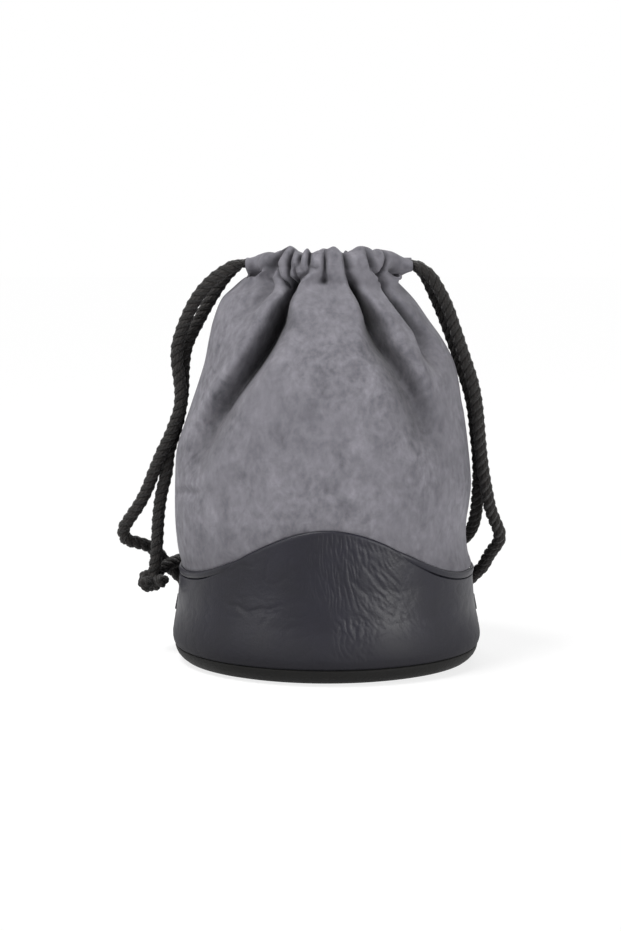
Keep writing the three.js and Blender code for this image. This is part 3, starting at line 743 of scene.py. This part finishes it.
def hem_plan(degrees):
    """The middle of the hem in plan and its outward direction, by place across the front."""
    path = smooth_route([(x, -deep, 0) for x, deep in hem_bow()], 0.25)[:, :2]
    step = np.gradient(path, axis=0)
    out = np.c_[step[:, 1], -step[:, 0]] / np.linalg.norm(step, axis=1)[:, None]
    sine = np.sin(np.radians(degrees))
    spread = ease(np.abs(degrees), 45, 90)
    x = np.where(sine < 0, NECK_LEFT * sine + (NECK_LEFT - HEM_LEFT) * spread,
                 NECK_RIGHT * sine + (HEM_RIGHT - NECK_RIGHT) * spread)
    return tuple(np.stack([np.interp(x, path[:, 0], table[:, k]) for k in (0, 1)], axis=-1) for table in (path, out))


def upper_half(name, side, folds, hem_top):
    """Half of the upper: from inside the cup's edge up to the neck, over the hem's cord and down inside."""
    columns, wall_rows, shelf_rows, hem_rows = 281, 124, 5, 38
    even = np.linspace(-1, 1, columns)[None]
    degrees = 90 * (0.62 * even + 0.38 * even**3)
    phi = np.radians(degrees)
    hem, normal = hem_plan(degrees)
    flush = 1 - np.where(degrees < 0, ease(-degrees, 37, 50), ease(degrees, 48, 62))
    ends = ease(np.abs(degrees), 62, 90)
    half_width = lerp(3.4 + 1.6 * flush, 3.1, ends)

    # The wall, from the tuck to the neck
    top = NECK + 1.4 + 2.6 * flush
    up = 1 - (1 - np.linspace(0, 1, wall_rows)[:, None]) ** 1.25
    edge = cup_edge(phi)
    z = lerp(edge - TUCK, top, up)
    phi, degrees_there = phi + 0 * z, degrees + 0 * z
    across = lerp(
        girth(z, left_wall, left_shoulder, NECK_LEFT), girth(z, right_wall, round_shoulder, NECK_RIGHT),
        ease(np.sin(phi), -0.25, 0.25),
    )
    deep = girth(z, deep_wall, round_shoulder, NECK_DEPTH)
    facing = np.stack([np.sin(phi), -np.cos(phi)], axis=-1)
    plan = facing * np.stack([across, deep], axis=-1)
    inside = cup_radius(z) - lerp(CUP_WALL + GAP, 0.6, ease(z, edge - 1.2, edge))
    plan = lerp(inside[..., None] * facing, plan, ease(z, edge - 0.2, edge + 5)[..., None])
    near_hem = (1 - ease(np.abs(degrees), 62, 86)) * ease(z, 154, 162)
    lobes = np.where(degrees < 0, 4.5, 2.6) * (1 - flush) * (1 - ends)
    under_hem = hem + normal * half_width[..., None] - np.stack([0 * lobes, lobes], axis=-1)
    plan = lerp(plan, under_hem, near_hem[..., None])
    inwards, sideways = fold_shift(degrees_there, z, 0.5 * (across + deep), folds)
    grid = np.concatenate([plan, z[..., None]], axis=-1).reshape(-1, 3)
    waves = (0.7 * wobble(grid, 0.022, 21 + side) + 0.3 * wobble(grid, 0.07, 31 + side)).reshape(z.shape)
    from_seam = 90 - np.abs(degrees_there)
    loose = ease(z, edge + 1, edge + 16)
    free = loose * (1 - np.exp(-((from_seam / 9) ** 2)))
    above = z - edge
    # Painted shade: darker by the folds' depth, and darker just above the cup's edge where the cloth goes in under it
    wall_painted_shade = inwards * free + 1.5 * (1 - ease(above, 0, 16)) + 1.5 * (1 - ease(above, 0, 7))
    inwards = inwards + rumples(degrees_there, z)
    inwards = (inwards - waves * (1 - ease(z, 150, 160))) * free + 0.8 * loose * np.exp(-((from_seam / 1.6) ** 2))
    # The folds go straight back near the middle of the front, and towards the axis at the sides
    slant = phi * np.abs(phi) / (math.pi / 2)
    out = np.stack([np.sin(slant), -np.cos(slant)], axis=-1)
    out = lerp(out, normal, near_hem[..., None])
    out /= np.linalg.norm(out, axis=-1)[..., None]
    beside = np.stack([-out[..., 1], out[..., 0]], axis=-1)
    plan = plan - out * inwards[..., None] + beside * (sideways * free)[..., None]
    wall = np.concatenate([plan, z[..., None]], axis=-1)

    # The hem, wrapped round the cord
    turn = np.radians(lerp(lerp(-75, -12, flush), 248, np.linspace(0, 1, hem_rows)[:, None]))
    middle = HEM_HEIGHT - 0.3 - 0.9 * ease(degrees, 60, 90)
    crest = curve_through(hem_top)(degrees)
    rise = np.where(np.sin(turn) > 0, crest - middle, lerp(3.8, 2.5, ends))
    height = middle + rise * np.sin(turn)
    inwards, sideways = fold_shift(degrees + 0 * height, height, 26 + 0 * height, folds)
    front = ease(np.cos(turn), -0.2, 0.6)
    inwards = np.minimum(inwards, half_width - 1.5)
    reach = half_width * np.cos(turn) - inwards * front
    along = np.stack([-normal[..., 1], normal[..., 0]], axis=-1)
    plan = hem + normal * reach[..., None] + along * (sideways * front)[..., None]
    hem_grid = np.concatenate([plan, height[..., None]], axis=-1)
    # Painted shade in the hem's pleats, by their depth at the front
    hem_painted_shade = 4.5 * inwards * front

    # The cloth that goes back under the hem's loose ends
    step = np.linspace(0, 1, shelf_rows + 2)[1:-1, None, None]
    shelf = lerp(wall[-1:], hem_grid[:1], ease(step, 0, 1))
    loose_end = (1 - flush) * np.where(degrees > 0, 1 - 0.85 * ends, 1)
    sunk = np.sin(np.pi * step) * loose_end[..., None]
    shelf[..., 2] -= 1.2 * sunk[..., 0]
    shelf[..., :2] -= 2.2 * sunk * normal
    # Painted shade in the hollow under the hem's loose ends, blended from the wall's to the hem's
    shelf_painted_shade = lerp(wall_painted_shade[-1:], hem_painted_shade[:1], step[..., 0]) + 5 * np.sin(np.pi * step[..., 0]) * (1 - flush)

    points = np.concatenate([wall, shelf, hem_grid], axis=0)
    painted_fold_shade = np.concatenate([wall_painted_shade, shelf_painted_shade, hem_painted_shade], axis=0)
    if side > 0:
        points = points[:, ::-1] * np.array([1, -1, 1])
        painted_fold_shade = painted_fold_shade[:, ::-1]
    obj = piece_from(name, points.reshape(-1, 3), grid_faces(len(points), columns), SUEDE)
    # The painted shade goes on the points for the suede's colour, scaled to 0 to 1
    layer = obj.data.attributes.new("painted_fold_shade", "FLOAT", "POINT")
    layer.data.foreach_set("value", np.clip(painted_fold_shade / 16, 0, 1).ravel())
    apply_modifier(obj, "SOLIDIFY", thickness=CLOTH * MM, offset=-1)
    return obj


def mirrored(folds, shift):
    """The same folds on the other hand, turned a little, for the back."""
    return [([(z, shift - d) for z, d in places], depths, right, left) for places, depths, left, right in folds]


# Cord


def turned_frames(path):
    """A pair of directions across the path at each point, carried along it without twist."""
    step = np.gradient(path, axis=0)
    step /= np.linalg.norm(step, axis=1)[:, None]
    start = np.cross(step[0], (0.3, 0.9, 0.2))
    across = [start / np.linalg.norm(start)]
    for direction in step[1:]:
        carried = across[-1] - direction * np.dot(across[-1], direction)
        across.append(carried / np.linalg.norm(carried))
    across = np.array(across)
    return across, np.cross(step, across)


def rope(name, route, diameter=CORD, step=0.75):
    """Three strands laid round each other along a route; the tabs and the hem squeeze them a little."""
    path = smooth_route(route, step)
    across, upright = turned_frames(path)
    run = np.r_[0, np.cumsum(np.linalg.norm(np.diff(path, axis=0), axis=1))]
    from_eye = np.linalg.norm(np.abs(path) - np.array(TAB_EYE_PLACE), axis=1)
    in_hem = (1 - ease(np.abs(path[:, 0]), 35, 38.5)) * ease(path[:, 2], 160, 164)
    full = (1 - EYE_SQUEEZE * np.exp(-((from_eye / 7) ** 2)) - HEM_SQUEEZE * in_hem)[:, None]
    strand = 0.43 * diameter * full
    offset = 0.28 * diameter * full
    points, faces, lie = [], [], []
    ring = np.linspace(0, 2 * math.pi, STRAND_SIDES, endpoint=False)
    for k in range(3):
        turn = 2 * math.pi * (run / CORD_LAY * CORD / diameter + k / 3)
        spoke = np.cos(turn)[:, None] * across + np.sin(turn)[:, None] * upright
        middle = path + offset * spoke
        ahead = np.gradient(middle, axis=0)
        ahead /= np.linalg.norm(ahead, axis=1)[:, None]
        beside = np.cross(ahead, spoke)
        beside /= np.linalg.norm(beside, axis=1)[:, None]
        rings = middle[:, None] + strand[:, None] * (
            np.cos(ring)[None, :, None] * spoke[:, None] + np.sin(ring)[None, :, None] * beside[:, None]
        )
        faces += tube_faces(len(points), len(path), STRAND_SIDES)
        points.extend(rings.reshape(-1, 3))
        lie.extend((b / (2 * math.pi), s) for s in run for b in ring)
    obj = piece_from(name, points, faces, YARN)
    layer = obj.data.uv_layers.new(name="lie")
    loops = np.empty(len(obj.data.loops), int)
    obj.data.loops.foreach_get("vertex_index", loops)
    layer.data.foreach_set("uv", np.array(lie)[loops].ravel())
    outwards(obj)
    return obj, path


def swing_blend(obj, body, top, foot, towards):
    """The line between the cord's two ends and the way that its bow hangs out are worked out, and the cord's placement
    is baked into its points; nothing swings here.
    """
    line = (Vector(top) - Vector(foot)).normalized()
    way = Vector(towards)
    way = (way - line * way.dot(line)).normalized()
    start, end = Vector(top) + way * 6, Vector(top) + way * 14
    tuple(start * MM)
    tuple(end * MM)
    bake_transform(obj)


# Body, the upper and lower end of the line between the bow's two ends, and the way that it hangs out
LEFT_SWING = ("left_cord", (-34.2, 5.5, 167), (-60.3, 28.1, 21), (-0.78, -0.62, 0))
RIGHT_SWING = ("right_cord", (36.2, 5.5, 167), (60.3, 28.1, 21), (0.78, -0.62, 0))


def hanging_cord(name, route, into_hem, swing, nodes):
    """A free stretch of the cord; its first points lie inside the hem."""
    obj, path = rope(name, [*into_hem, *route])
    swing_blend(obj, *swing)
    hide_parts(*nodes)
    tuple(v * MM for v in route[0])


def knot():
    """A tight knot of the cord: two wraps lying side by side, one of them crossed over."""
    t = np.linspace(-1, 1, 48)
    turn = 2.1 * math.pi * t
    wraps = np.c_[3 * t - 0.6, 2.2 * np.cos(turn), 2.5 * np.sin(turn) + 0.9 * t - 0.3]
    obj, _ = rope("cord_knot_tied", wraps + np.array(KNOT_PLACE), diameter=3.9, step=0.4)
    return dressed(obj, "left_cord", "cord", "cord_knot")


def cord_end(name, route, node):
    obj, _ = rope(name, route, step=0.5)
    points = coordinates(obj)
    tip = np.array(route[-1])
    near = ease(np.linalg.norm(points - tip, axis=1), 3.2, 0.5)
    points += (points - tip) * (0.3 * near)[:, None]
    move_points(obj, points)
    return dressed(obj, "left_cord", "cord", node)


def mouth_blend(obj):
    """The neck's front or back, with its placement baked into its points."""
    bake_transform(obj)


def hem_cord(name, side, node):
    """The cord's run inside the hem."""
    obj, _ = rope(name, [(x, side * deep, HEM_HEIGHT) for x, deep in hem_bow()], diameter=2.0)
    mouth_blend(obj)
    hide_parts(node)


# Tabs


def tab_surface(side, along, up, lift):
    """A point of the strap round the cup, at a distance along it and a height, lifted off the wall."""
    past_eye = np.abs(along) - TAB_EYE / 2
    raised = TAB_DEPTH * (1 - ease(past_eye, 0, TAB_RAMP))
    phi = side * math.radians(TAB_ANGLE) + along / BASE_RADIUS
    return around_axis(cup_radius(up) + GAP + raised + lift, phi, up)


def cord_tab(name, side, node):
    deselect_all()
    bpy.ops.mesh.primitive_grid_add(x_subdivisions=72, y_subdivisions=8, size=1, location=(0, 0, 0))
    obj = bpy.context.object
    obj.name = obj.data.name = name
    points = coordinates(obj) * MM
    along = points[:, 0] * TAB_LENGTH
    corner = 1 - 0.22 * ease(np.abs(points[:, 0]), 0.44, 0.5) ** 2
    up = TAB_FOOT + TAB_HEIGHT * (0.5 + points[:, 1] * corner)
    move_points(obj, tab_surface(side, along, up, TAB_CLOTH))
    obj.data.materials.append(LEATHERETTE)
    outside = around_axis(1, side * math.radians(TAB_ANGLE), 0)
    if sum(np.array(p.normal) @ outside for p in obj.data.polygons) < 0:
        edit_all(obj, bpy.ops.mesh.flip_normals)
    apply_modifier(obj, "SOLIDIFY", thickness=TAB_CLOTH * MM, offset=-1)
    apply_modifier(obj, "BEVEL", width=0.35 * MM, segments=2, limit_method="ANGLE")
    obj.data.shade_smooth()
    dressed(obj, "base", "cup_leatherette", node)
    along_rows = np.array([s * (TAB_LENGTH / 2 - 2.2) for s in (-1, 1) for _ in range(3)])
    up_rows = np.array([TAB_FOOT + TAB_HEIGHT * f for _ in range(2) for f in (0.22, 0.5, 0.78)])
    centres = tab_surface(side, along_rows, up_rows, TAB_CLOTH + 0.05)
    out = centres * np.array([1, 1, 0])
    out /= np.linalg.norm(out, axis=1)[:, None]
    upright = np.tile((0.0, 0.0, 1.0), (6, 1))
    stitches(name + "_stitches", centres, upright, out, length=1.7, thick=0.5, body="base")


# Inside of the cup


def wavy_ring(name, material, outer, thickness, foot, below_edge, rows, puff):
    """A ring of soft stuff that lines the cup and follows its wavy edge."""
    obj, phi, share = plain_tube(name, rows, 192, material)
    z = lerp(foot, cup_edge(phi) - below_edge, share)
    radius = outer - puff * (0.5 + 0.5 * wobble(around_axis(55, phi, z), 0.06, 71))
    move_points(obj, around_axis(radius, phi, z))
    apply_modifier(obj, "SOLIDIFY", thickness=thickness * MM, offset=-1)
    apply_modifier(obj, "BEVEL", width=0.25 * MM, segments=2, limit_method="ANGLE")
    return obj


def cup_padding():
    foam = wavy_ring(
        "cup_foam_ring", FOAM, outer=LINING_RADIUS + 2.3, thickness=2, foot=PAD_FOOT, below_edge=4.2, rows=14, puff=0.2
    )
    dressed(foam, "base", "foam", "cup_foam")
    lining = wavy_ring(
        "cup_lining_cloth", LINING, outer=LINING_RADIUS, thickness=0.7, foot=PAD_TOP + 1.5, below_edge=2, rows=24,
        puff=0.35,
    )
    dressed(lining, "base", "lining", "cup_lining")


def cup_bottom():
    lower = [(35.1, 0), (1.6, 0), (0.7, 0.8), (0.6, 2.5)]
    upper = [(0.9, 1), (2.2, 0.3), (5, 0), (35.1, 0)]
    pad_rings = [(LINING_RADIUS - inset, PAD_FOOT + up) for inset, up in lower]
    pad_rings += [(LINING_RADIUS - inset, PAD_TOP - down) for inset, down in upper]
    pad = extruded_rings("base_foam_pad", pad_rings, 128, FOAM, fill=True)
    dressed(pad, "base", "foam", "base_pad")
    radii = [LINING_RADIUS - 0.2, *(LINING_RADIUS * (1 - i / 24) for i in range(1, 24)), 0.2]
    cover = extruded_rings("base_lining_cloth", [(radius, PAD_TOP + 0.3) for radius in radii], 128, LINING)
    points = coordinates(cover)
    points[:, 2] += 0.25 * wobble(points, 0.08, 81) + 0.25
    move_points(cover, points)
    apply_modifier(cover, "SOLIDIFY", thickness=0.6 * MM, offset=0)
    outwards(cover)
    dressed(cover, "base", "lining", "base_lining")


def seam_tape(name, side, node):
    """Tape inside a side seam, from above the cup's edge to just under the neck."""
    rows, columns = 60, 9
    z = np.linspace(EDGE_SIDE + SWELL, TAPE_TOP, rows)[:, None]
    left, right = (left_wall, left_shoulder, NECK_LEFT), (right_wall, round_shoulder, NECK_RIGHT)
    radius = girth(z, *(left if side < 0 else right)) - CLOTH - 1.6
    off = np.linspace(-4, 4, columns)[None] / 60 * np.ones_like(z)
    points = np.stack([side * radius * np.cos(off), radius * np.sin(off), z + 0 * off], axis=-1)
    obj = piece_from(name, points.reshape(-1, 3), grid_faces(rows, columns), LINING)
    apply_modifier(obj, "SOLIDIFY", thickness=0.7 * MM, offset=0)
    dressed(obj, "base", "lining", node)


# Camera, light and floor


CAMERA_TARGET = Vector((-0.0067, 0, 0.0815))
CAMERA_DISTANCE = 1.1
CAMERA_TILT = math.radians(7.2)
CAMERA_LENS = 101.1
LIT_PLACE = Vector((0, 0, 0.09))
AMBIENT = 0.12
# Places and widths in metres, power in watts
SOFTBOXES = [
    ("right_softbox", (0.93, -0.74, 0.17), 0.32, 6.3),
    ("front_softbox", (0.6, -1.02, 0.16), 0.3, 1.4),
    ("left_softbox", (-0.95, -0.8, 0.35), 0.5, 3.4),
    ("top_softbox", (-0.45, -0.32, 1.15), 0.45, 12),
    ("back_softbox", (0.15, 0.9, 0.9), 0.7, 6),
]


def photo_camera():
    data = bpy.data.cameras.new("photo_camera")
    data.lens = CAMERA_LENS
    data.sensor_width = 36
    camera = add_to_scene("photo_camera", data)
    away = Vector((0, -math.cos(CAMERA_TILT), math.sin(CAMERA_TILT)))
    camera.location = CAMERA_TARGET + CAMERA_DISTANCE * away
    camera.rotation_euler = (math.pi / 2 - CAMERA_TILT, 0, 0)
    bpy.context.scene.camera = camera


def softbox(name, place, width, watts):
    light = bpy.data.lights.new(name, "AREA")
    light.size = width
    light.energy = watts
    obj = add_to_scene(name, light)
    obj.location = place
    obj.rotation_euler = (LIT_PLACE - Vector(place)).to_track_quat("-Z", "Y").to_euler()


def white_world():
    """White where it is seen, also in a reflection, and a dim light otherwise."""
    world = bpy.data.worlds.new("white_studio")
    bpy.context.scene.world = world
    world.use_nodes = True
    tree = world.node_tree
    back = tree.nodes["Background"]
    rays = tree.nodes.new("ShaderNodeLightPath").outputs
    seen = rays["Is Camera Ray"]
    for kind in ("Is Transmission Ray", "Is Glossy Ray"):
        either = tree.nodes.new("ShaderNodeMath")
        either.operation = "MAXIMUM"
        tree.links.new(seen, either.inputs[0])
        tree.links.new(rays[kind], either.inputs[1])
        seen = either.outputs[0]
    level = tree.nodes.new("ShaderNodeMath")
    level.operation = "MULTIPLY_ADD"
    tree.links.new(seen, level.inputs[0])
    level.inputs[1].default_value = 1 - AMBIENT
    level.inputs[2].default_value = AMBIENT
    tree.links.new(level.outputs[0], back.inputs["Strength"])
    back.inputs["Color"].default_value = (1, 1, 1, 1)


def paper_floor():
    """White to the camera away from the pouch; near it, the shadow stays."""
    bpy.ops.mesh.primitive_plane_add(size=6, location=(0, 0, -0.0002))
    floor = bpy.context.object
    floor.name = "studio_floor"
    paper = Finish("studio_paper", Base_Color=(0.85, 0.85, 0.85, 1), Roughness=0.9)
    away = paper.add("VectorMath", {"operation": "LENGTH"}, paper.places, output="Value")
    white = ((away - 0.1) * 5).clamp() * 0.32 + 0.66
    glow = paper.add("Emission", {}, Strength=1.56 - white * 0.56)
    camera, glossy = (paper.add("LightPath", {}, output=f"Is {ray} Ray") for ray in ("Camera", "Glossy"))
    seen = camera.math("MAXIMUM", glossy)
    surface = paper.add("MixShader", {}, white * seen, Value(paper, paper.shader.outputs[0]), glow)
    paper.put(paper.tree.nodes["Material Output"], {"Surface": surface})
    floor.data.materials.append(paper.material)


bpy.context.scene.view_settings.view_transform = "Standard"
photo_camera()
for box in SOFTBOXES:
    softbox(*box)
white_world()
paper_floor()

tied = knot()
front_stub = cord_end("front_cut_end", FRONT_END, "front_cord_end")
rear_stub = cord_end("rear_cut_end", REAR_END, "rear_cord_end")
hanging_cord(
    "left_outer_cord", LEFT_OUTER, [(-30, -4, 166.6)], LEFT_SWING, ["left_outer_strand"]
)
hanging_cord(
    "left_inner_cord", [*LEFT_INNER, (-73.6, 8.2, 33)], [(-30, 4, 166.6)], LEFT_SWING,
    ["left_inner_strand"],
)
hanging_cord(
    "left_lower_cord", [*LEFT_LOWER, (-73, 10.8, 32.6)], [], LEFT_SWING,
    ["left_tab_turn", "left_cord_tail"],
)
hanging_cord(
    "right_outer_cord", RIGHT_OUTER, [(32, -4, 166.3)], RIGHT_SWING, ["right_outer_strand"]
)
hanging_cord(
    "right_inner_cord", RIGHT_INNER, [(32, 4, 166.3)], RIGHT_SWING,
    ["right_inner_strand", "right_tab_turn"],
)
hem_cord("front_hem_cord", -1, "front_cord_run")
hem_cord("back_hem_cord", 1, "back_cord_run")

front = upper_half("front_upper", -1, FRONT_FOLDS, HEM_TOP)
mouth_blend(front)
back_top = [(BACK_TURN - d, max(z - BACK_LOWER, HEM_TOP[0][1])) for d, z in reversed(HEM_TOP)]
back = upper_half("back_upper", 1, mirrored(FRONT_FOLDS, BACK_TURN), back_top)
mouth_blend(back)
for half, side in ((front, "front"), (back, "back")):
    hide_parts(f"{side}_panel", f"{side}_shoulder", f"{side}_channel")

base_cup()
edge_band()
sole()
for hand, side in (("left", -1), ("right", 1)):
    cord_tab(f"{hand}_cord_tab_strap", side, f"{hand}_cord_tab")
cup_padding()
cup_bottom()
for hand, side in (("left", -1), ("right", 1)):
    seam_tape(f"{hand}_seam_tape", side, f"{hand}_side_seam")

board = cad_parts["base_board"]
board.data.materials.clear()
board.data.materials.append(BOARD)
